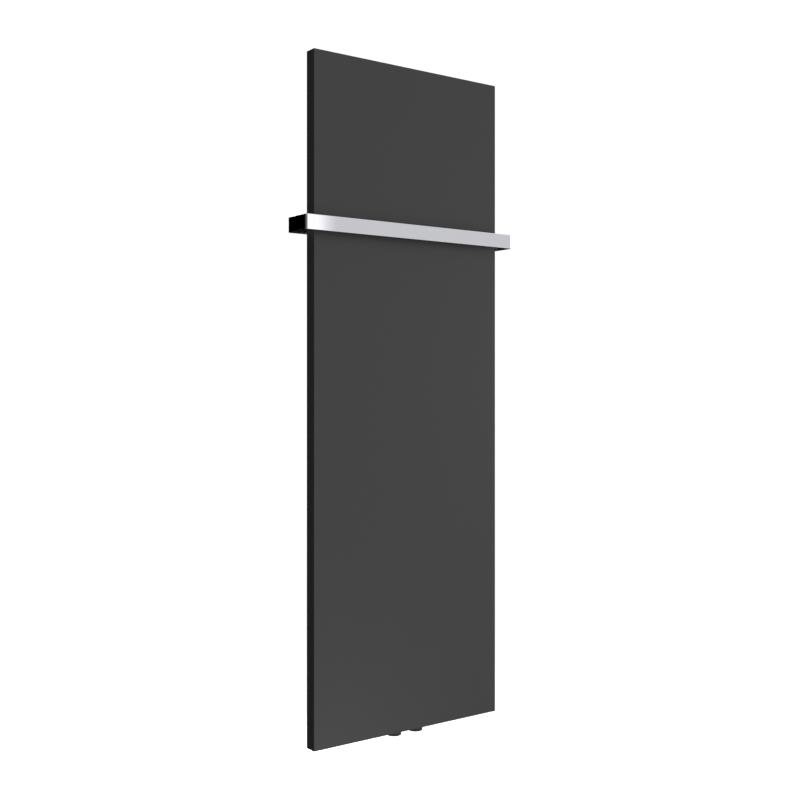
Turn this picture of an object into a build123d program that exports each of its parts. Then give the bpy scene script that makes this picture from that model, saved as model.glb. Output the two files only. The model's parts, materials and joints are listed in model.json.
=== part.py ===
from build123d import *
import os

# Flat-panel bathroom radiator, hung on a wall, with a bent flat-bar towel rail and a centre connection.
# Millimetres. Origin on the wall plane, midway between the four wall fixings.
# +Z is up, +X is to the right seen from the room, and the panel faces -Y, so the wall is at y = 0.

# --- driving dimensions -------------------------------------------------------------------------

# folded front panel
panel_width = 425.0
panel_height = 1250.0
panel_depth = 24.5
panel_sheet = 1.5
panel_fold_radius = 1.0       # outside radius of the folds, kept crisp by a groove cut inside before folding
panel_inner_bend = 0.3        # inside radius of the folds
panel_corner_radius = 1.0     # corners of the front face

# centre connection: two G 1/2 sockets set into the bottom header
connection_pitch = 50.0
socket_diameter = 27.0
socket_bore_diameter = 18.63  # minor diameter of a G 1/2 internal thread
socket_length = 18.0
socket_below_panel = 7.3
socket_edge_chamfer = 0.5
socket_mouth_chamfer = 1.0
socket_notch_gap = 0.8        # radial gap between a socket and its notch in the bottom flange

# headers across the top and bottom, inside the panel, just deep enough for the sockets
header_wall = 1.5
header_socket_gap = 0.25      # socket to the header's inner walls
header_corner_radius = 3.0
header_end_gap = 4.0          # header's end cap to the panel's side flange
header_edge_gap = 1.5         # header to the panel's top or bottom flange
end_cap_thickness = 1.5
divider_thickness = 2.0

# risers: flat tubes between the headers, welded to the panel's inner face
riser_count = 8
riser_width = 40.0
riser_depth = 10.0
riser_wall = 1.25
riser_corner_radius = 2.0
riser_end_margin = 3.0        # header's end to the outermost riser's share of it
weld_gap = 0.05               # all-round clearance of a piece that is set into a hole and welded

# towel rail: one flat bar bent to a C round the panel
rail_height = 27.5
rail_thickness = 3.0
rail_inner_bend = 2.0
rail_edge_radius = 0.9
rail_front_gap = 16.5         # panel's front face to the rail's inner face
rail_side_gap = 25.0          # panel's side to the rail's inner face
rail_rear_gap = 17.0          # panel's rear edge to the rail's rear tabs
rail_below_top = 312.0        # panel's top edge to the rail's centre line
rail_tab_margin = 9.0         # inner post's axis to the tab's end

# posts, pads, washers and screws that hold the towel rail
post_diameter = 12.0
post_spacing = 20.0
post_hole_depth = 13.0
rail_pad_diameter = 14.0
rail_pad_thickness = 1.0
rail_screw_diameter = 6.0
rail_screw_length = 14.0
rail_screw_head_diameter = 10.5
rail_screw_head_height = 3.3
rail_screw_head_radius = 2.0
rail_screw_hex = 4.0
rail_screw_hex_depth = 2.0
rail_washer_diameter = 12.0
rail_washer_thickness = 1.6
screw_hole_gap = 0.3          # radial, rail, pads and washers round a screw
thread_gap = 0.05             # radial, screw in its tapped hole

# hanger plates: hat sections with a keyhole, welded to the second riser from each side
hanger_inset = 125.0          # panel's top or bottom edge to the hanger pins
hanger_sheet = 2.0
hanger_head_gap = 1.0         # pin's head to the plate's side walls
hanger_foot = 6.0
hanger_depth = 23.5           # riser's rear face to the plate's rear face
hanger_above_pin = 14.0
hanger_below_keyhole = 8.8    # keyhole's wide end to the plate's lower end
keyhole_land = 0.5            # neck's underside to the top of the head as it leaves the keyhole

# hanger pins and wall sleeves: telescopic standoffs
pin_head_diameter = 18.0
pin_head_height = 3.0
pin_neck_diameter = 9.0
pin_diameter = 14.0
pin_side_gap = 0.2            # radial, neck in the keyhole
pin_seat_gap = 0.1            # neck under the keyhole's upper end
pin_end_gap = 0.2             # axial, head and shoulder each side of the hanger plate
pin_bore_gap = 0.05           # radial, pin in its sleeve
pin_rear_gap = 3.5            # pin's end to the sleeve's base
pin_chamfer = 0.6
sleeve_length = 24.0
sleeve_wall = 6.95
sleeve_base = 5.0
sleeve_edge_radius = 1.2
sleeve_mouth_gap = 3.0        # sleeve's mouth to the hanger plate at the shortest setting
wall_screw_hole = 6.5
grub_diameter = 5.0
grub_length = 6.0
grub_hex = 2.5
grub_hex_depth = 2.5
grub_chamfer = 0.5
grub_tip_gap = 0.3            # grub screw's tip to the pin, undone by a fraction of a turn
grub_from_mouth = 4.0

# air vent behind the top header
vent_from_side = 37.5         # panel's right side to the vent's axis
vent_header_gap = 0.5         # vent's widest piece to the header
vent_boss_width = 20.0
vent_boss_height = 16.0
vent_boss_radius = 3.0
vent_boss_below_header = 5.0  # header's underside down to the boss's underside
vent_thread_diameter = 9.7
vent_thread_length = 9.0
vent_well_depth = 12.0
vent_port_diameter = 5.0
vent_seal_thickness = 1.0
vent_seal_width = 2.6
vent_hex = 14.0
vent_hex_height = 4.0
vent_hex_chamfer = 0.6
vent_neck_diameter = 8.6
vent_neck_margin = 1.9        # nozzle's top to the neck's top
vent_outlet_diameter = 2.0
vent_cross_hole_diameter = 1.6
needle_diameter = 4.8
needle_gap = 0.06             # radial, needle in the vent's bore
needle_seat_height = 1.5      # body's lower end to the needle's seat
needle_lift = 0.1             # needle above its seat
needle_taper = 1.2
needle_square = 4.0
needle_head_height = 5.0
nozzle_diameter = 15.0
nozzle_height = 6.0
nozzle_gap = 0.1              # nozzle round the neck and above the hexagon
nozzle_edge_radius = 0.8
nozzle_groove_depth = 0.8
nozzle_groove_height = 2.4
spout_diameter = 5.5
spout_bore = 2.4
spout_reach = 14.0

overcut = 1.0                 # how far a cutter runs past the face it opens

# --- places worked out from them ----------------------------------------------------------------

header_side = socket_diameter + 2 * (header_wall + header_socket_gap)
hanger_width = pin_head_diameter + 2 * (hanger_head_gap + hanger_sheet)
keyhole_drop = (pin_head_diameter + pin_neck_diameter) / 2 + keyhole_land
wall_distance = sleeve_length + sleeve_mouth_gap + hanger_depth + riser_depth + panel_sheet

front_y = -wall_distance
inner_y = front_y + panel_sheet
panel_rear_y = front_y + panel_depth
top_z = panel_height / 2
bottom_z = -panel_height / 2
half_width = panel_width / 2

header_length = panel_width - 2 * (panel_sheet + header_end_gap)
header_y = inner_y + header_side / 2
header_rear_y = inner_y + header_side
top_header_z = top_z - panel_sheet - header_edge_gap - header_side / 2
bottom_header_z = bottom_z + panel_sheet + header_edge_gap + header_side / 2
header_zs = (bottom_header_z, top_header_z)

riser_pitch = (header_length - 2 * riser_end_margin) / riser_count
riser_xs = [(i - (riser_count - 1) / 2) * riser_pitch for i in range(riser_count)]
riser_y = inner_y + riser_depth / 2
riser_rear_y = inner_y + riser_depth
riser_length = top_header_z - bottom_header_z - header_side + 2 * header_wall

socket_xs = (-connection_pitch / 2, connection_pitch / 2)
socket_low_z = bottom_z - socket_below_panel

rail_outer_x = half_width + rail_side_gap + rail_thickness
rail_front_y = front_y - rail_front_gap - rail_thickness
rail_tab_y = panel_rear_y + rail_rear_gap
rail_rear_y = rail_tab_y + rail_thickness
rail_z = top_z - rail_below_top
post_xs = [side * (riser_xs[-1] + step) for side in (-1, 1) for step in (-post_spacing / 2, post_spacing / 2)]
post_rear_y = rail_tab_y - rail_pad_thickness
rail_end_x = riser_xs[-1] - post_spacing / 2 - rail_tab_margin
rail_hole_diameter = rail_screw_diameter + 2 * screw_hole_gap

hanger_x = riser_xs[-2]
hanger_z = top_z - hanger_inset
hanger_rear_y = riser_rear_y + hanger_depth
hanger_front_y = hanger_rear_y - hanger_sheet
hangers = {
    "upper_left": (-hanger_x, hanger_z),
    "upper_right": (hanger_x, hanger_z),
    "lower_left": (-hanger_x, -hanger_z),
    "lower_right": (hanger_x, -hanger_z),
}
sleeve_diameter = pin_diameter + 2 * (pin_bore_gap + sleeve_wall)
pin_head_y = hanger_front_y - pin_end_gap
pin_shoulder_y = hanger_rear_y + pin_end_gap
pin_rear_y = -sleeve_base - pin_rear_gap
grub_y = grub_from_mouth - sleeve_length

vent_x = half_width - vent_from_side
vent_reach = max(vent_hex, nozzle_diameter) / 2 + vent_header_gap
vent_y = header_rear_y + vent_reach
vent_boss_z = top_header_z - header_side / 2 - vent_boss_below_header
vent_boss_top_z = vent_boss_z + vent_boss_height
vent_well_z = vent_boss_top_z - vent_well_depth
vent_hex_z = vent_boss_top_z + vent_seal_thickness
vent_neck_z = vent_hex_z + vent_hex_height
nozzle_z = vent_neck_z + nozzle_gap
nozzle_middle_z = nozzle_z + nozzle_height / 2
vent_top_z = nozzle_z + nozzle_height + vent_neck_margin
vent_low_z = vent_boss_top_z - vent_thread_length
needle_seat_z = vent_low_z + needle_seat_height


# --- helpers ------------------------------------------------------------------------------------

def span(low, high):
    """Box from its low corner to its high corner."""
    size = [b - a for a, b in zip(low, high)]
    middle = [(a + b) / 2 for a, b in zip(low, high)]
    return Pos(*middle) * Box(*size)


def rod_x(diameter, y, z, low, high):
    """Cylinder along X between two places."""
    return Pos((low + high) / 2, y, z) * Rot(0, 90, 0) * Cylinder(diameter / 2, high - low)


def rod_y(diameter, x, z, low, high):
    """Cylinder along Y between two depths."""
    return Pos(x, (low + high) / 2, z) * Rot(90, 0, 0) * Cylinder(diameter / 2, high - low)


def rod_z(diameter, x, y, low, high):
    """Upright cylinder between two heights."""
    return Pos(x, y, (low + high) / 2) * Cylinder(diameter / 2, high - low)


def across(x, y, z):
    """Plane that looks along X, for outlines of depth by height."""
    return Plane((x, y, z), x_dir=(0, 1, 0), z_dir=(1, 0, 0))


def level(x, y, z):
    """Plane that looks along Z, for outlines of width by depth."""
    return Plane((x, y, z), x_dir=(1, 0, 0), z_dir=(0, 0, 1))


def box_tube(plane, width, height, radius, wall, length):
    """Rectangular tube, centred on the plane's origin and on its length."""
    outline = RectangleRounded(width, height, radius)
    hollow = RectangleRounded(width - 2 * wall, height - 2 * wall, radius - wall)
    return extrude(plane * (outline - hollow), amount=length / 2, both=True)


def hexagon(across_flats):
    return RegularPolygon(across_flats / 2, 6, major_radius=False)


def circles(shape, axis):
    """The shape's round edges, in order along an axis."""
    return shape.edges().filter_by(GeomType.CIRCLE).sort_by(axis)


# --- folded panel -------------------------------------------------------------------------------

def front_panel():
    """One sheet folded back on four sides, notched below for the two sockets."""
    shell = span((-half_width, front_y, bottom_z), (half_width, panel_rear_y, top_z))
    shell = fillet(shell.edges().filter_by(Axis.Y), panel_corner_radius)
    shell = fillet(shell.faces().sort_by(Axis.Y)[0].edges(), panel_fold_radius)
    inner_x = half_width - panel_sheet
    inner_z = top_z - panel_sheet
    hollow = span((-inner_x, inner_y, -inner_z), (inner_x, panel_rear_y + overcut, inner_z))
    shell -= fillet(hollow.faces().sort_by(Axis.Y)[0].edges(), panel_inner_bend)
    notch = socket_diameter / 2 + socket_notch_gap
    low, high = bottom_z - overcut, bottom_z + panel_sheet + overcut
    for x in socket_xs:
        shell -= rod_z(2 * notch, x, header_y, low, high)
        shell -= span((x - notch, header_y, low), (x + notch, panel_rear_y + overcut, high))
    return shell


# --- water side ---------------------------------------------------------------------------------

def header(z, open_face_z):
    """Square tube with a hole for each riser's end in one face."""
    length = header_length - 2 * end_cap_thickness
    plane = across(0, header_y, z)
    tube = box_tube(plane, header_side, header_side, header_corner_radius, header_wall, length)
    width, depth = riser_width + 2 * weld_gap, riser_depth + 2 * weld_gap
    hole = RectangleRounded(width, depth, riser_corner_radius + weld_gap)
    for x in riser_xs:
        tube -= extrude(level(x, riser_y, open_face_z) * hole, amount=header_wall + overcut, both=True)
    return tube


def bottom_header():
    tube = header(bottom_header_z, bottom_header_z + header_side / 2)
    underside = bottom_header_z - header_side / 2
    for x in socket_xs:
        hole = socket_diameter + 2 * weld_gap
        tube -= rod_z(hole, x, header_y, underside - overcut, underside + header_corner_radius + overcut)
    return tube


def top_header():
    tube = header(top_header_z, top_header_z - header_side / 2)
    port_z = vent_well_z + vent_port_diameter / 2
    low, high = header_rear_y - header_wall - overcut, header_rear_y + overcut
    return tube - rod_y(vent_port_diameter, vent_x, port_z, low, high)


def header_end_caps():
    """Four plates welded over the headers' open ends."""
    outline = RectangleRounded(header_side, header_side, header_corner_radius)
    x = (header_length - end_cap_thickness) / 2
    return Compound(children=[
        extrude(across(side * x, header_y, z) * outline, amount=end_cap_thickness / 2, both=True)
        for z in header_zs for side in (-1, 1)
    ])


def riser_tube(x):
    middle = level(x, riser_y, (top_header_z + bottom_header_z) / 2)
    return box_tube(middle, riser_width, riser_depth, riser_corner_radius, riser_wall, riser_length)


def flow_divider():
    """Plate across the bottom header: the supply rises in the left half and returns down the right."""
    inside = header_side - 2 * header_wall
    outline = RectangleRounded(inside, inside, header_corner_radius - header_wall)
    return extrude(across(0, header_y, bottom_header_z) * outline, amount=divider_thickness / 2, both=True)


def socket(x):
    """Internally threaded socket, its bore at the thread's minor diameter."""
    high = socket_low_z + socket_length
    body = rod_z(socket_diameter, x, header_y, socket_low_z, high)
    body = chamfer(circles(body, Axis.Z)[0], socket_edge_chamfer)
    body -= rod_z(socket_bore_diameter, x, header_y, socket_low_z - overcut, high + overcut)
    mouth = circles(body.faces().sort_by(Axis.Z)[0], Axis.Z).sort_by(SortBy.RADIUS)[0]
    return chamfer(mouth, socket_mouth_chamfer)


# --- towel rail ---------------------------------------------------------------------------------

def rail_line(inset):
    """Half of the rail's path, from its middle to the tab's end, a distance inside its outer face."""
    x, front, rear = rail_outer_x - inset, rail_front_y + inset, rail_rear_y - inset
    corners = [(0, front), (x, front), (x, rear), (rail_end_x, rear)]
    return FilletPolyline(*corners, radius=rail_inner_bend + rail_thickness - inset)


def towel_rail():
    """One flat bar, bent twice each side, with two holes in each rear tab."""
    outer, inner = rail_line(0), rail_line(rail_thickness)
    half = make_face(outer + Line(outer @ 1, inner @ 1) + inner + Line(inner @ 0, outer @ 0))
    outline = half + mirror(half, about=Plane.YZ)
    bar = Pos(0, 0, rail_z) * extrude(outline, amount=rail_height / 2, both=True)
    ends = bar.faces().sort_by(Axis.Z)
    bar = fillet(ends[0].edges() + ends[-1].edges(), rail_edge_radius)
    for x in post_xs:
        bar -= rod_y(rail_hole_diameter, x, rail_z, rail_tab_y - overcut, rail_rear_y + overcut)
    return bar


def rail_rings(outer, bore, low, high):
    """A ring on each rail post's axis."""
    return Compound(children=[
        rod_y(outer, x, rail_z, low, high) - rod_y(bore, x, rail_z, low - overcut, high + overcut)
        for x in post_xs
    ])


def rail_posts():
    """Posts welded to the outermost risers, each tapped from its rear end."""
    tapping = rail_screw_diameter + 2 * thread_gap
    return Compound(children=[
        rod_y(post_diameter, x, rail_z, riser_rear_y, post_rear_y)
        - rod_y(tapping, x, rail_z, post_rear_y - post_hole_depth, post_rear_y + overcut)
        for x in post_xs
    ])


def rail_screw(x):
    """Button-head screw with a hexagon socket."""
    seat = rail_rear_y + rail_washer_thickness
    end = seat + rail_screw_head_height
    head = rod_y(rail_screw_head_diameter, x, rail_z, seat, end)
    head = fillet(circles(head, Axis.Y)[-1], rail_screw_head_radius)
    key = Plane((x, end, rail_z), x_dir=(1, 0, 0), z_dir=(0, -1, 0)) * hexagon(rail_screw_hex)
    screw = head + rod_y(rail_screw_diameter, x, rail_z, seat - rail_screw_length, seat)
    return screw - extrude(key, amount=rail_screw_hex_depth)


# --- hangers, pins and wall sleeves -------------------------------------------------------------

def hanger_plate(x, z):
    """Hat section on a riser. Its keyhole is narrow above, where the pin sits, and wide below."""
    wide_diameter = pin_head_diameter + 2 * pin_side_gap
    wide_z = z - keyhole_drop
    low, high = wide_z - wide_diameter / 2 - hanger_below_keyhole, z + hanger_above_pin
    half = hanger_width / 2
    plate = span((x - half, riser_rear_y, low), (x + half, hanger_rear_y, high))
    plate = fillet(plate.faces().sort_by(Axis.Y)[-1].edges().filter_by(Axis.Z), hanger_sheet)
    feet = half + hanger_foot
    plate += span((x - feet, riser_rear_y, low), (x + feet, riser_rear_y + hanger_sheet, high))
    inside = half - hanger_sheet
    low_corner = (x - inside, riser_rear_y - overcut, low - overcut)
    plate -= span(low_corner, (x + inside, hanger_front_y, high + overcut))
    slot = pin_neck_diameter + 2 * pin_side_gap
    slot_z = z + pin_seat_gap - pin_side_gap
    front, rear = hanger_front_y - overcut, hanger_rear_y + overcut
    plate -= rod_y(slot, x, slot_z, front, rear)
    plate -= span((x - slot / 2, front, wide_z), (x + slot / 2, rear, slot_z))
    return plate - rod_y(wide_diameter, x, wide_z, front, rear)


def hanger_pin(x, z):
    """Headed pin that hooks into the keyhole and slides in its wall sleeve."""
    head = rod_y(pin_head_diameter, x, z, pin_head_y - pin_head_height, pin_head_y)
    neck = rod_y(pin_neck_diameter, x, z, pin_head_y, pin_shoulder_y)
    shank = rod_y(pin_diameter, x, z, pin_shoulder_y, pin_rear_y)
    return chamfer(circles(head, Axis.Y), pin_chamfer) + neck + chamfer(circles(shank, Axis.Y), pin_chamfer)


def wall_sleeve(x, z):
    """Cup screwed to the wall, open towards the radiator, tapped from below for its grub screw."""
    cup = rod_y(sleeve_diameter, x, z, -sleeve_length, 0)
    cup = fillet(circles(cup, Axis.Y)[0], sleeve_edge_radius)
    cup -= rod_y(pin_diameter + 2 * pin_bore_gap, x, z, -sleeve_length - overcut, -sleeve_base)
    cup -= rod_y(wall_screw_hole, x, z, -sleeve_base - overcut, overcut)
    return cup - rod_z(grub_diameter + 2 * thread_gap, x, grub_y, z - sleeve_diameter / 2 - overcut, z)


def grub_screw(x, z):
    """Headless screw under a sleeve, pointing up at its pin."""
    tip = z - pin_diameter / 2 - grub_tip_gap
    low = tip - grub_length
    body = rod_z(grub_diameter, x, grub_y, low, tip)
    body = chamfer(circles(body, Axis.Z), grub_chamfer)
    return body - extrude(level(x, grub_y, low) * hexagon(grub_hex), amount=grub_hex_depth)


# --- air vent -----------------------------------------------------------------------------------

def vent_boss():
    """Block welded behind the top header, tapped from above and ported through to the water."""
    half = vent_boss_width / 2
    low = (vent_x - half, header_rear_y, vent_boss_z)
    high = (vent_x + half, header_rear_y + 2 * vent_reach, vent_boss_top_z)
    block = span(low, high)
    block = fillet(block.faces().sort_by(Axis.Y)[-1].edges().filter_by(Axis.Z), vent_boss_radius)
    tapping = vent_thread_diameter + 2 * thread_gap
    block -= rod_z(tapping, vent_x, vent_y, vent_well_z, vent_boss_top_z + overcut)
    port_z = vent_well_z + vent_port_diameter / 2
    return block - rod_y(vent_port_diameter, vent_x, port_z, header_rear_y - overcut, vent_y)


def vent_seal():
    """Flat sealing ring between the boss and the vent's hexagon."""
    bore = vent_thread_diameter + 2 * thread_gap
    ring = rod_z(bore + 2 * vent_seal_width, vent_x, vent_y, vent_boss_top_z, vent_hex_z)
    return ring - rod_z(bore, vent_x, vent_y, vent_boss_top_z - overcut, vent_hex_z + overcut)


def vent_body():
    """Plug with a hexagon and a neck. A cross hole in the neck lets the air out to the nozzle."""
    corners = rod_z(2 * hexagon(vent_hex).radius, vent_x, vent_y, vent_hex_z, vent_neck_z)
    body = chamfer(circles(corners, Axis.Z), vent_hex_chamfer)
    body &= extrude(level(vent_x, vent_y, vent_hex_z) * hexagon(vent_hex), amount=vent_hex_height)
    body += rod_z(vent_thread_diameter, vent_x, vent_y, vent_low_z, vent_hex_z)
    body += rod_z(vent_neck_diameter, vent_x, vent_y, vent_neck_z, vent_top_z)
    body -= rod_z(needle_diameter + 2 * needle_gap, vent_x, vent_y, needle_seat_z, vent_top_z + overcut)
    body -= rod_z(vent_outlet_diameter, vent_x, vent_y, vent_low_z - overcut, vent_top_z)
    reach = vent_neck_diameter / 2 + overcut
    return body - rod_y(vent_cross_hole_diameter, vent_x, nozzle_middle_z, vent_y - reach, vent_y + reach)


def vent_needle():
    """Bleed screw with a tapered end and a square for the key."""
    shoulder = vent_top_z + needle_lift
    screw = rod_z(needle_diameter, vent_x, vent_y, needle_seat_z + needle_lift, shoulder)
    screw = chamfer(circles(screw, Axis.Z)[0], needle_taper)
    half = needle_square / 2
    low = (vent_x - half, vent_y - half, shoulder)
    return screw + span(low, (vent_x + half, vent_y + half, shoulder + needle_head_height))


def vent_nozzle():
    """Plastic ring with a spout, turning on the vent's neck."""
    bore = vent_neck_diameter + 2 * nozzle_gap
    top = nozzle_z + nozzle_height
    ring = rod_z(nozzle_diameter, vent_x, vent_y, nozzle_z, top)
    ring = fillet(circles(ring, Axis.Z), nozzle_edge_radius)
    ring += rod_x(spout_diameter, vent_y, nozzle_middle_z, vent_x, vent_x + spout_reach)
    ring -= rod_z(bore, vent_x, vent_y, nozzle_z - overcut, top + overcut)
    groove = nozzle_groove_height / 2
    groove_diameter = bore + 2 * nozzle_groove_depth
    ring -= rod_z(groove_diameter, vent_x, vent_y, nozzle_middle_z - groove, nozzle_middle_z + groove)
    return ring - rod_x(spout_bore, vent_y, nozzle_middle_z, vent_x, vent_x + spout_reach + overcut)


# --- build and write ----------------------------------------------------------------------------

def all_parts():
    parts = {
        "front_panel": front_panel(),
        "top_header": top_header(),
        "bottom_header": bottom_header(),
        "header_end_caps": header_end_caps(),
        "flow_divider": flow_divider(),
        "supply_socket": socket(socket_xs[0]),
        "return_socket": socket(socket_xs[1]),
        "towel_rail": towel_rail(),
        "rail_posts": rail_posts(),
        "rail_pads": rail_rings(rail_pad_diameter, rail_hole_diameter, post_rear_y, rail_tab_y),
        "rail_washers": rail_rings(
            rail_washer_diameter, rail_hole_diameter, rail_rear_y, rail_rear_y + rail_washer_thickness),
        "rail_screws": Compound(children=[rail_screw(x) for x in post_xs]),
        "vent_boss": vent_boss(),
        "vent_seal": vent_seal(),
        "vent_body": vent_body(),
        "vent_needle": vent_needle(),
        "vent_nozzle": vent_nozzle(),
    }
    for number, x in enumerate(riser_xs, start=1):
        parts[f"riser_tube_{number}"] = riser_tube(x)
    for place, (x, z) in hangers.items():
        parts[f"hanger_plate_{place}"] = hanger_plate(x, z)
        parts[f"hanger_pin_{place}"] = hanger_pin(x, z)
        parts[f"wall_sleeve_{place}"] = wall_sleeve(x, z)
        parts[f"grub_screw_{place}"] = grub_screw(x, z)
    return parts


os.makedirs("parts", exist_ok=True)
for name, shape in all_parts().items():
    export_step(shape, f"parts/{name}.step")
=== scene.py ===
"""Looks of the flat-panel towel radiator: coated steel, chromed rail, and the fittings behind the panel."""
import json
import math

import bmesh
import bpy
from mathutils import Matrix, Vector


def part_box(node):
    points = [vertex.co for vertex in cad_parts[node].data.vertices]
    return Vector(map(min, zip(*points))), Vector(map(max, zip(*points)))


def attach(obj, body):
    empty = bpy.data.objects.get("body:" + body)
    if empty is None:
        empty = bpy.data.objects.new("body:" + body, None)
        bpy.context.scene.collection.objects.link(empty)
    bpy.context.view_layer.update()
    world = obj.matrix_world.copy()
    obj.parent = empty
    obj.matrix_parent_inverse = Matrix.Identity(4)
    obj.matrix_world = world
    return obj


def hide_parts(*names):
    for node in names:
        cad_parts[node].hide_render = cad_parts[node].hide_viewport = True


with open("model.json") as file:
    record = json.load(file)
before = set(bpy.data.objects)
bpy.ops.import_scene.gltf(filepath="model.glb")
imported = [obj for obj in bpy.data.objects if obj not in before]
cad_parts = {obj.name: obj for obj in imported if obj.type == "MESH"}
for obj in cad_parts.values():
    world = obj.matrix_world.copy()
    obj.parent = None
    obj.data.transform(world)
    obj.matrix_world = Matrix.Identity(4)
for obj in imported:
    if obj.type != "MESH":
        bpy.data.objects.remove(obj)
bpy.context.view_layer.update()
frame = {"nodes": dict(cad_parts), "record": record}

nodes = frame["nodes"]
MM = 0.001


# --- shader building ----------------------------------------------------------------------------

class Wire:
    """An output socket that stands in an expression on plain values. Each operator adds one Math node."""

    def __init__(self, shader, socket):
        self.shader = shader
        self.socket = socket

    def math(self, operation, *others):
        return self.shader.add("ShaderNodeMath", {"operation": operation}, [self, *others])

    def __add__(self, other):
        return self.math("ADD", other)

    __radd__ = __add__

    def __mul__(self, other):
        return self.math("MULTIPLY", other)

    __rmul__ = __mul__

    def __rsub__(self, other):
        return self.shader.add("ShaderNodeMath", {"operation": "SUBTRACT"}, [other, self])


class Shader:
    """The nodes of a material or of the world."""

    def __init__(self, owner):
        owner.use_nodes = True
        self.owner = owner
        self.tree = owner.node_tree
        self.tree.nodes.clear()

    def add(self, kind, settings=None, sockets=(), output=0):
        """One node: its settings first, with a ramp's stops, then the values or links of its sockets."""
        node = self.tree.nodes.new(kind)
        for key, value in (settings or {}).items():
            if key == "stops":
                ramp = node.color_ramp
                for place, (position, colour) in enumerate(value):
                    stop = ramp.elements[place] if place < 2 else ramp.elements.new(position)
                    stop.position = position
                    stop.color = colour
            else:
                setattr(node, key, value)
        for key, value in sockets.items() if isinstance(sockets, dict) else enumerate(sockets):
            if isinstance(value, Wire):
                self.tree.links.new(value.socket, node.inputs[key])
            else:
                node.inputs[key].default_value = value
        return Wire(self, node.outputs[output]) if node.outputs else None

    def place(self):
        """The surface's place in metres, in the radiator's own frame."""
        return self.add("ShaderNodeTexCoord", output="Object")

    def noise(self, size, detail=2.0, stretch=(1, 1, 1), offset=0.0):
        """Soft random values about 0.5, in spots of a size in metres, longer where stretch is above 1."""
        scale = tuple(1 / s for s in stretch)
        placing = {"Vector": self.place(), "Location": (offset,) * 3, "Scale": scale}
        moved = self.add("ShaderNodeMapping", {}, placing)
        settings = {"Vector": moved, "Scale": 1 / size, "Detail": detail, "Roughness": 0.55}
        return self.add("ShaderNodeTexNoise", {}, settings, output="Fac")

    def blend(self, factor, first, second):
        """A colour between two colours."""
        sockets = {0: factor, 6: first, 7: second}
        return self.add("ShaderNodeMix", {"data_type": "RGBA"}, sockets, output=2)

    def bump(self, height, depth, strength=1.0):
        """A normal from a height between 0 and 1, depth metres deep."""
        return self.add("ShaderNodeBump", {}, {"Height": height, "Distance": depth, "Strength": strength})

    def finish(self, **sockets):
        """Principled surface. An underscore in a name stands for a space."""
        named = {key.replace("_", " "): value for key, value in sockets.items()}
        surface = self.add("ShaderNodeBsdfPrincipled", {}, named)
        self.add("ShaderNodeOutputMaterial", {}, {"Surface": surface})
        return self.owner


def shade(grey, tint=(1, 1, 1)):
    return tuple(grey * t for t in tint) + (1,)


# --- finishes -----------------------------------------------------------------------------------

COOL = (0.985, 0.99, 1.03)


def powder_coat(name, grey, peel, depth, roughness):
    """Matt anthracite powder coat: fine grain over a soft orange peel, and a faint unevenness of tone."""
    s = Shader(bpy.data.materials.new(name))
    grain = s.noise(0.45 * MM, detail=3)
    waves = s.noise(peel, detail=1, offset=3.1)
    tone = s.noise(90 * MM, detail=3, offset=7.7)
    colour = s.blend(0.65 * tone + 0.35 * grain, shade(grey * 0.93, COOL), shade(grey * 1.07, COOL))
    return s.finish(
        Base_Color=colour,
        Roughness=roughness - 0.05 + 0.06 * grain + 0.05 * tone,
        Specular_IOR_Level=0.35,
        Normal=s.bump(0.4 * grain + 0.6 * waves, depth),
    )


def chrome():
    """Polished chrome: a mirror with hairlines from polishing and a trace of haze."""
    s = Shader(bpy.data.materials.new("rail_chrome"))
    hairlines = s.noise(0.25 * MM, detail=2, stretch=(60, 60, 1))
    haze = s.noise(35 * MM, detail=3, offset=2.3)
    return s.finish(
        Base_Color=s.blend(haze, shade(0.86, COOL), shade(0.9, COOL)),
        Metallic=1.0,
        Roughness=0.01 + 0.012 * haze + 0.01 * hairlines,
        Normal=s.bump(hairlines, 0.0006 * MM),
    )


def worked_metal(name, colour, roughness, stretch, spread=0.06, depth=0.004 * MM):
    """Turned, drawn or brushed metal: fine lines along the direction in which it was worked."""
    s = Shader(bpy.data.materials.new(name))
    lines = s.noise(0.16 * MM, detail=3, stretch=stretch)
    cloud = s.noise(4 * MM, detail=3, offset=5.2)
    darker, lighter = (tuple(c * k for c in colour) + (1,) for k in (0.88, 1.08))
    return s.finish(
        Base_Color=s.blend(0.5 * lines + 0.5 * cloud, darker, lighter),
        Metallic=1.0,
        Roughness=roughness - spread + 2 * spread * (0.5 * lines + 0.5 * cloud),
        Normal=s.bump(lines, depth),
    )


def moulded(name, colour, roughness, grain, depth):
    """Moulded plastic or rubber with a fine eroded surface."""
    s = Shader(bpy.data.materials.new(name))
    pits = s.noise(grain, detail=3)
    cloud = s.noise(3 * MM, detail=2, offset=1.9)
    darker, lighter = (tuple(c * k for c in colour) + (1,) for k in (0.94, 1.04))
    return s.finish(
        Base_Color=s.blend(cloud, darker, lighter),
        Roughness=roughness - 0.05 + 0.1 * pits,
        Normal=s.bump(pits, depth),
    )


LATHE = (12, 1, 12)      # marks round pieces whose axis lies along Y, drawn long across it
UPRIGHT = (12, 12, 1)    # the same round an upright axis

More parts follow.
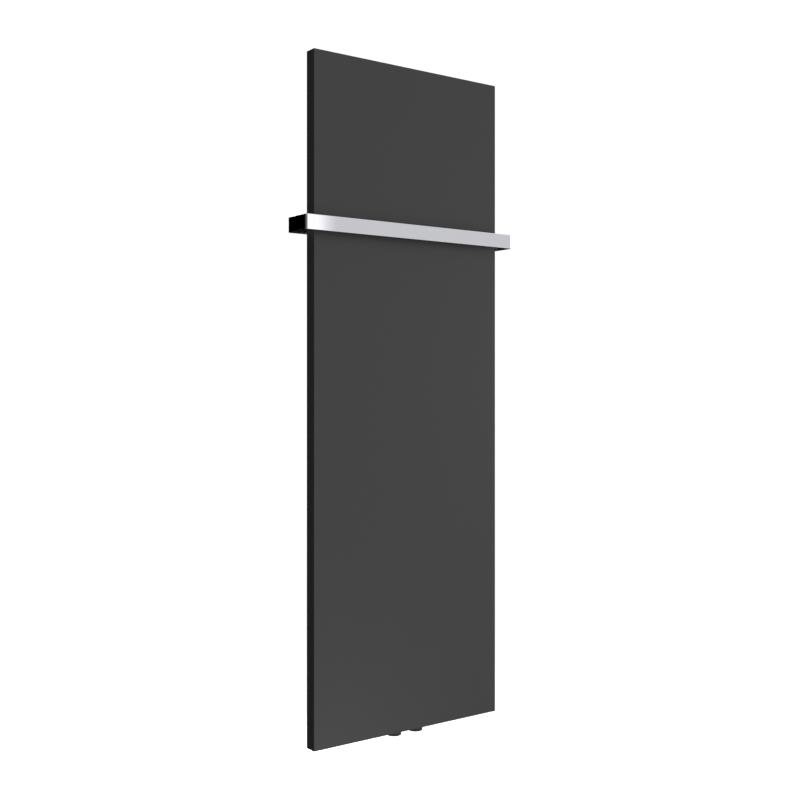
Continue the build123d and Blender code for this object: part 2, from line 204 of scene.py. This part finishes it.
finishes = {
    "anthracite_coat": powder_coat("anthracite_coat", 0.058, 3.2 * MM, 0.03 * MM, 0.56),
    "shaded_socket_coat": powder_coat("shaded_socket_coat", 0.04, 1.6 * MM, 0.02 * MM, 0.6),    # finer peel, as on turned steel; its darker grey is painted shade under the panel
    "chrome": chrome(),
    "bare_steel": worked_metal("bare_steel", (0.42, 0.41, 0.4), 0.42, (1, 30, 1)),
    "black_rubber": moulded("black_rubber", (0.02, 0.02, 0.021), 0.72, 0.2 * MM, 0.02 * MM),
    "stainless_steel": worked_metal("stainless_steel", (0.6, 0.59, 0.57), 0.28, LATHE),
    "nickelled_brass": worked_metal("nickelled_brass", (0.7, 0.66, 0.58), 0.24, UPRIGHT),
    "brass": worked_metal("turned_brass", (0.78, 0.58, 0.28), 0.26, UPRIGHT),
    "white_plastic": moulded("white_plastic", (0.8, 0.8, 0.77), 0.42, 0.3 * MM, 0.01 * MM),
    "zinc_steel": worked_metal("zinc_plated_steel", (0.58, 0.61, 0.66), 0.3, LATHE, 0.08),
    "satin_nickel": worked_metal("satin_nickel", (0.6, 0.57, 0.52), 0.36, LATHE, 0.05),
    "black_steel": worked_metal("black_oxide_steel", (0.06, 0.06, 0.062), 0.38, UPRIGHT),
}

slot_of = {entry["node"]: entry["material_slot"] for entry in frame["record"]["subparts"]}
for name, node in nodes.items():
    node.data.materials.clear()
    node.data.materials.append(finishes[slot_of[name]])


# --- modelling helpers --------------------------------------------------------------------------

def only(piece):
    bpy.ops.object.select_all(action="DESELECT")
    piece.select_set(True)
    bpy.context.view_layer.objects.active = piece


def primitive(add, **settings):
    """A new primitive, in edit mode and selected all over, with nothing else selected."""
    bpy.ops.object.select_all(action="DESELECT")
    add(enter_editmode=True, **settings)
    return bpy.context.object


def choose(kind, test):
    """Selects the edges or faces, in edit mode, that pass a test of their middle (and a face's normal)."""
    bpy.ops.mesh.select_all(action="DESELECT")
    bpy.ops.mesh.select_mode(type=kind)
    piece = bpy.context.object
    mesh = bmesh.from_edit_mesh(piece.data)
    for part in mesh.edges if kind == "EDGE" else mesh.faces:
        if kind == "EDGE":
            passed = test(piece.matrix_world @ ((part.verts[0].co + part.verts[1].co) / 2))
        else:
            passed = test(piece.matrix_world @ part.calc_center_median(), part.normal)
        part.select_set(passed)
    bmesh.update_edit_mesh(piece.data)


def settle(piece, angle=40):
    """Leaves edit mode with the faces pointing out, and puts the piece's place into its mesh."""
    bpy.ops.mesh.select_all(action="SELECT")
    bpy.ops.mesh.normals_make_consistent(inside=False)
    bpy.ops.object.mode_set(mode="OBJECT")
    only(piece)
    bpy.ops.object.transform_apply(location=True, rotation=True, scale=True)
    bpy.ops.object.shade_smooth_by_angle(angle=math.radians(angle))
    return piece


def copy_of(piece, offset):
    """A copy with its own mesh, moved by an offset."""
    only(piece)
    bpy.ops.object.duplicate()
    twin = bpy.context.object
    bpy.ops.transform.translate(value=offset)
    bpy.ops.object.transform_apply(location=True, rotation=True, scale=True)
    return twin


def joined(name, pieces):
    """Several pieces made one, under a name."""
    only(pieces[0])
    for piece in pieces:
        piece.select_set(True)
    bpy.ops.object.join()
    bpy.context.object.name = name
    return bpy.context.object


def fitted(piece, slot):
    """A finished piece takes its finish and rides on the radiator."""
    piece.data.materials.clear()
    piece.data.materials.append(finishes[slot])
    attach(piece, "radiator")


# --- threaded sockets ---------------------------------------------------------------------------

THREAD_PITCH = 1.814 * MM
THREAD_MAJOR = 20.955 * MM / 2
THREAD_MINOR = 18.63 * MM / 2
THREAD_ROOT = 0.1 * MM    # how far the ridge reaches into the wall
RIDGE_WIDTH = 0.98        # of the pitch, at the root
RIDGE_CREST = 0.18        # of the ridge's width
MOUTH = 1.0 * MM
SOCKET_EDGE = 0.5 * MM
NEAR = 0.1 * MM           # how close to an edge counts as on it


def thread(centre, low, high):
    """The thread's ridge: a trapezium wound up the bore, then cut square at both ends."""
    depth = THREAD_MAJOR - THREAD_MINOR + THREAD_ROOT
    start = (centre.x + THREAD_MINOR + depth / 2, centre.y, low - 1.5 * THREAD_PITCH)
    upright = (math.pi / 2, 0, 0)
    ridge = primitive(bpy.ops.mesh.primitive_plane_add, size=1, location=start, rotation=upright)
    bpy.ops.transform.resize(value=(depth, 1, THREAD_PITCH * RIDGE_WIDTH))
    choose("EDGE", lambda p: p.x < centre.x + THREAD_MINOR + NEAR)
    bpy.ops.transform.resize(value=(1, 1, RIDGE_CREST))
    bpy.ops.mesh.select_all(action="SELECT")
    bpy.ops.mesh.delete(type="ONLY_FACE")
    bpy.ops.object.mode_set(mode="OBJECT")
    bpy.context.scene.cursor.location = centre
    only(ridge)
    bpy.ops.object.transform_apply(location=False, rotation=True, scale=True)
    bpy.ops.object.origin_set(type="ORIGIN_CURSOR")
    bpy.ops.object.modifier_add(type="SCREW")
    screw = ridge.modifiers[0]
    screw.screw_offset = THREAD_PITCH
    screw.iterations = math.ceil((high - low) / THREAD_PITCH) + 3      # with turns to cut off at both ends
    screw.steps = screw.render_steps = 48
    screw.use_merge_vertices = False
    bpy.ops.object.modifier_apply(modifier=screw.name)
    bpy.ops.object.mode_set(mode="EDIT")
    for level, side in ((low + MOUTH, -1), (high, 1)):
        bpy.ops.mesh.select_all(action="SELECT")
        cut = {"plane_co": (centre.x, centre.y, level), "plane_no": (0, 0, side), "threshold": 0.001 * MM}
        bpy.ops.mesh.bisect(use_fill=True, clear_outer=True, **cut)
    return settle(ridge, 20)


def threaded_socket(node):
    """Turned socket with an eased outer edge, a countersunk mouth and a cut thread."""
    low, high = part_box(node)
    centre = (low + high) / 2
    radius = (high.x - low.x) / 2
    size = {"vertices": 96, "radius": radius, "depth": high.z - low.z}
    wall = primitive(bpy.ops.mesh.primitive_cylinder_add, location=centre, **size)
    choose("FACE", lambda p, n: abs(n.z) > 0.9)
    bpy.ops.mesh.inset(thickness=radius - THREAD_MAJOR)
    bpy.ops.mesh.delete(type="FACE")
    choose("EDGE", lambda p: (p - centre).xy.length < THREAD_MAJOR + NEAR)
    bpy.ops.mesh.bridge_edge_loops()
    choose("EDGE", lambda p: p.z < low.z + NEAR and (p - centre).xy.length > radius - NEAR)
    bpy.ops.mesh.bevel(offset=SOCKET_EDGE, segments=3)
    choose("EDGE", lambda p: p.z < low.z + NEAR and (p - centre).xy.length < THREAD_MAJOR + NEAR)
    bpy.ops.mesh.bevel(offset=MOUTH, segments=1)
    settle(wall)
    # the wall takes the darker coat: painted shade, as if the panel above shadowed the socket
    wall.data.materials.append(finishes["shaded_socket_coat"])
    ridge = thread(centre, low.z, high.z)
    ridge.data.materials.append(finishes["bare_steel"])
    socket = joined(f"{node}_threaded", [wall, ridge])
    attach(socket, "radiator")
    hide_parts(node)


threaded_socket("supply_socket")
threaded_socket("return_socket")


# --- weld beads ---------------------------------------------------------------------------------

BEAD = 1.4 * MM           # radius, round the risers and along the hanger plates' feet
POST_BEAD = 1.1 * MM      # round the posts and beside the vent's boss
CAP_BEAD = 0.8 * MM
SOCKET_BEAD = 1.0 * MM
RIPPLE = 0.8 * MM
NECK = 0.84               # a bead's width between two ripples, to its width at one
CORNER = 0.9 * MM
RING_STEPS = 24
STITCH = 14 * MM
STITCH_INSET = 4 * MM     # a foot's end to its stitch
BOSS_INSET = 1.5 * MM     # the boss's top and the header's underside to a bead's ends
TURN = -1                 # transform.rotate turns the other way when Blender has no window


def bead(path, axis, radius=BEAD):
    """Weld bead along a path that turns about one axis only, swelling and narrowing at each ripple."""
    steps = [end - start for start, end in zip(path, path[1:])]
    rotation = steps[0].to_track_quat("Z", "Y").to_euler()
    disc = {"vertices": 8, "radius": radius, "fill_type": "NGON"}
    piece = primitive(bpy.ops.mesh.primitive_circle_add, location=path[0], rotation=rotation, **disc)
    bpy.ops.mesh.select_mode(type="FACE")
    swollen = True
    for place, step in enumerate(steps):
        if place:
            before = steps[place - 1]
            turn = math.copysign(before.angle(step), before.cross(step)["XYZ".index(axis)])
            bpy.ops.transform.rotate(value=TURN * turn, orient_axis=axis, center_override=path[place])
        count = max(1, round(step.length / RIPPLE))
        for _ in range(count):
            bpy.ops.mesh.extrude_region_move(TRANSFORM_OT_translate={"value": step / count})
            swollen = not swollen
            bpy.ops.transform.resize(value=(1 / NECK if swollen else NECK,) * 3)
    return settle(piece, 60)


def welded(name, beads):
    """Beads joined into one named piece, coated with the rest."""
    fitted(joined(name, beads), "anthracite_coat")


def ring(centre, radius, axis):
    """Points of a closed ring about an axis, run a little past the start as a welder does."""
    second = {"Y": Vector((0, 0, 1)), "Z": Vector((0, 1, 0))}[axis]
    points = []
    for place in range(RING_STEPS + 2):
        angle = math.tau * place / RING_STEPS
        points.append(centre + radius * (math.cos(angle) * Vector((1, 0, 0)) + math.sin(angle) * second))
    return points


def weld_risers():
    """A bead round the rear and both sides of each riser where it enters a header."""
    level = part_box("top_header")[0].z
    low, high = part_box("riser_tube_1")
    path = [
        Vector((low.x, low.y + BEAD / 2, level)),
        Vector((low.x, high.y - CORNER, level)),
        Vector((low.x + CORNER, high.y, level)),
        Vector((high.x - CORNER, high.y, level)),
        Vector((high.x, high.y - CORNER, level)),
        Vector((high.x, low.y + BEAD / 2, level)),
    ]
    collar = bead(path, "Z")
    shifts = [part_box(f"riser_tube_{number}")[0].x - low.x for number in range(1, 9)]
    lower = [copy_of(collar, (shift, 0, -2 * level)) for shift in shifts]
    upper = [collar] + [copy_of(collar, (shift, 0, 0)) for shift in shifts[1:]]
    welded("riser_welds_upper", upper)
    welded("riser_welds_lower", lower)


def weld_hangers():
    """Two stitches along each foot of a hanger plate."""
    low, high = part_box("hanger_plate_upper_left")
    start = Vector((low.x, low.y, low.z + STITCH_INSET))
    stitch = bead([start, start + Vector((0, 0, STITCH))], "X")
    across = high.x - low.x
    up = high.z - low.z - STITCH - 2 * STITCH_INSET
    shifts = ((across, 0, 0), (0, 0, up), (across, 0, up))
    stitches = [stitch] + [copy_of(stitch, shift) for shift in shifts]
    upper_left = joined("hanger_stitches_upper_left", stitches)
    for place in ("upper_right", "lower_left", "lower_right"):
        twin = copy_of(upper_left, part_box(f"hanger_plate_{place}")[0] - low)
        twin.name = f"hanger_stitches_{place}"
        fitted(twin, "anthracite_coat")
    fitted(upper_left, "anthracite_coat")


def weld_posts():
    """A ring round the foot of each rail post."""
    low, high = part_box("rail_posts")
    radius = (high.z - low.z) / 2
    centre = Vector((low.x + radius, low.y, (low.z + high.z) / 2))
    outer = bead(ring(centre, radius, "Y"), "Y", POST_BEAD)
    inner = sum(corner.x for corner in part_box("riser_tube_1")) - 2 * centre.x
    right = -2 * centre.x
    welded("rail_post_welds", [outer] + [copy_of(outer, (x, 0, 0)) for x in (inner, right - inner, right)])


def weld_caps():
    """A bead round the top, the rear and the underside of each header where its end cap closes it."""
    low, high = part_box("top_header")
    left = low.x
    path = [
        Vector((left, low.y + BEAD, high.z)),
        Vector((left, high.y - CORNER, high.z)),
        Vector((left, high.y, high.z - CORNER)),
        Vector((left, high.y, low.z + CORNER)),
        Vector((left, high.y - CORNER, low.z)),
        Vector((left, low.y + BEAD, low.z)),
    ]
    seam = bead(path, "X", CAP_BEAD)
    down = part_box("bottom_header")[0].z - low.z
    shifts = ((-2 * left, 0, 0), (0, 0, down), (-2 * left, 0, down))
    welded("end_cap_welds", [seam] + [copy_of(seam, shift) for shift in shifts])


def weld_sockets():
    """A ring round each socket under the bottom header."""
    low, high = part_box("supply_socket")
    centre = (low + high) / 2
    centre.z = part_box("bottom_header")[0].z
    collar = bead(ring(centre, (high.x - low.x) / 2, "Z"), "Z", SOCKET_BEAD)
    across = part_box("return_socket")[0].x - low.x
    welded("socket_welds", [collar, copy_of(collar, (across, 0, 0))])


def weld_vent():
    """A bead up each side of the air vent's boss."""
    low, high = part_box("vent_boss")
    start = Vector((low.x, low.y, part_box("top_header")[0].z + BOSS_INSET))
    side = bead([start, Vector((low.x, low.y, high.z - BOSS_INSET))], "X", POST_BEAD)
    welded("vent_boss_welds", [side, copy_of(side, (high.x - low.x, 0, 0))])


weld_risers()
weld_hangers()
weld_posts()
weld_caps()
weld_sockets()
weld_vent()


# --- pressed and cut pieces with eased edges ----------------------------------------------------

def eased(node, width):
    """A node's shape with its cut edges taken off, as they are before coating or plating."""
    piece = bpy.data.objects.new(f"{node}_eased", nodes[node].data.copy())
    bpy.context.scene.collection.objects.link(piece)
    only(piece)
    bpy.ops.mesh.customdata_custom_splitnormals_clear()
    bpy.ops.object.mode_set(mode="EDIT")
    bpy.ops.mesh.select_all(action="SELECT")
    bpy.ops.mesh.remove_doubles(threshold=0.001 * MM)
    bpy.ops.mesh.dissolve_limited(angle_limit=math.radians(1))
    bpy.ops.object.mode_set(mode="OBJECT")
    bpy.ops.object.modifier_add(type="BEVEL")
    ease = piece.modifiers[0]
    ease.width = width
    ease.segments = 2
    ease.limit_method = "ANGLE"
    ease.angle_limit = math.radians(40)
    bpy.ops.object.modifier_apply(modifier=ease.name)
    bpy.ops.object.shade_smooth_by_angle(angle=math.radians(35))
    fitted(piece, slot_of[node])
    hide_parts(node)


for place in ("upper_left", "upper_right", "lower_left", "lower_right"):
    eased(f"hanger_plate_{place}", 0.3 * MM)
eased("header_end_caps", 0.35 * MM)
eased("vent_boss", 0.5 * MM)
eased("rail_washers", 0.2 * MM)


# --- studio -------------------------------------------------------------------------------------

FLOOR_Z = -1.3


def studio_floor():
    """Round pale floor, well below the radiator, which fades into the white background."""
    bpy.ops.object.select_all(action="DESELECT")
    bpy.ops.mesh.primitive_circle_add(vertices=96, radius=9, fill_type="NGON", location=(0, 0, FLOOR_Z))
    floor = bpy.context.object
    floor.name = "studio_floor"
    bpy.ops.object.transform_apply(location=True, rotation=True, scale=True)
    s = Shader(bpy.data.materials.new("studio_floor"))
    tone = s.noise(0.4, detail=2)
    paint = s.add("ShaderNodeBsdfDiffuse", {}, {"Color": s.blend(tone, shade(0.74), shade(0.76))})
    glow = s.add("ShaderNodeEmission", {}, {"Color": shade(1), "Strength": 0.75})
    both = s.add("ShaderNodeAddShader", {}, [paint, glow])
    s.add("ShaderNodeOutputMaterial", {}, {"Surface": both})
    floor.data.materials.append(s.owner)
    floor.visible_glossy = False
    floor.visible_diffuse = False


def studio_world():
    """White background, and a studio round the object: bright ahead and on the right, dark on the left."""
    world = bpy.data.worlds.new("studio")
    bpy.context.scene.world = world
    s = Shader(world)
    direction = s.add("ShaderNodeTexCoord", output="Generated")
    x, y, z = (s.add("ShaderNodeSeparateXYZ", {}, [direction], output=i) for i in range(3))
    azimuth = x.math("ARCTAN2", y * -1) * (180 / math.pi)      # 0 in front of the panel, 90 on its right

    def rise(value, start, end):
        settings = {"interpolation_type": "SMOOTHSTEP"}
        return s.add("ShaderNodeMapRange", settings, [value, start, end, 0.0, 1.0])

    walls = [(-180, 0.01), (-165, 0.0), (-138, 0.0), (-117, 0.04), (-60, 0.12), (-38, 0.28), (-15, 0.62),
             (8, 1.1), (20, 1.3), (48, 1.2), (60, 0.45), (100, 0.3), (134, 0.01), (165, 0.0)]
    stops = [(angle / 360 + 0.5, shade(grey)) for angle, grey in walls]
    around = s.add("ShaderNodeValToRGB", {"stops": stops}, [azimuth * (1 / 360) + 0.5])
    card = rise(azimuth, 31.6, 33.0) * (1 - rise(azimuth, 42.0, 43.0))
    around = s.blend(card, around, shade(0.645))
    above = s.blend(rise(x, -0.6, 0.1), shade(0.21), shade(0.48))
    below = s.blend(rise(y * -1, 0.0, 0.5) * (1 - rise(azimuth, 43, 60)), shade(0.03), shade(0.6))
    dome = s.blend(rise(z, 0.35, 0.95), around, above)
    dome = s.blend(rise(z * -1, 0.2, 0.6), dome, below)
    studio = s.add("ShaderNodeBackground", {}, [dome, 1.0])
    white = s.add("ShaderNodeBackground", {}, [shade(1), 1.05])
    seen = s.add("ShaderNodeLightPath", output="Is Camera Ray")
    mixed = s.add("ShaderNodeMixShader", {}, [seen, studio, white])
    s.add("ShaderNodeOutputWorld", {}, {"Surface": mixed})


def softbox(name, place, target, width, height, power, glossy=True, diffuse=True):
    """Soft rectangular light that points from its place to a target."""
    light = bpy.data.lights.new(name, "AREA")
    light.shape = "RECTANGLE"
    light.size = width
    light.size_y = height
    light.energy = power
    lamp = bpy.data.objects.new(name, light)
    bpy.context.scene.collection.objects.link(lamp)
    lamp.location = place
    lamp.rotation_euler = (Vector(target) - Vector(place)).to_track_quat("-Z", "Y").to_euler()
    lamp.visible_camera = False
    lamp.visible_glossy = glossy
    lamp.visible_diffuse = diffuse


def studio_camera():
    """Level camera in front and to the left, at the height of the panel's middle."""
    lens = bpy.data.cameras.new("camera")
    lens.sensor_width = 36
    lens.lens = 50.15
    lens.shift_y = -0.01564
    camera = bpy.data.objects.new("camera", lens)
    bpy.context.scene.collection.objects.link(camera)
    camera.location = (-1.25666, -1.7492, 0.0220)
    camera.rotation_euler = (math.radians(90), 0, -math.radians(36.165))
    bpy.context.scene.camera = camera


studio_floor()
studio_world()
studio_camera()
softbox("low_front", (-0.2, -0.4, -0.8), (-0.2, -0.06, -0.6), 0.02, 0.2, 0.5, glossy=False)
softbox("left_card", (-2.5, 0.1, 0.1), (-0.2, 0, 0), 1.5, 1.5, 4.2, glossy=False)
softbox("right_card", (2.2, -0.6, 0.1), (0.2, 0, 0.3), 2.6, 1.2, 9, diffuse=False)
softbox("upper_back", (0.9, 1.8, 1.6), (0, 0, 0), 1.2, 1.2, 30)
softbox("low_back", (0.7, 2.1, -0.5), (0, 0, 0), 1.2, 1.2, 14, glossy=False)
softbox("rear_fill", (0.9, 1.9, 0.4), (0, 0, 0), 1.6, 1.6, 45, glossy=False)
bpy.context.scene.view_settings.view_transform = "Standard"
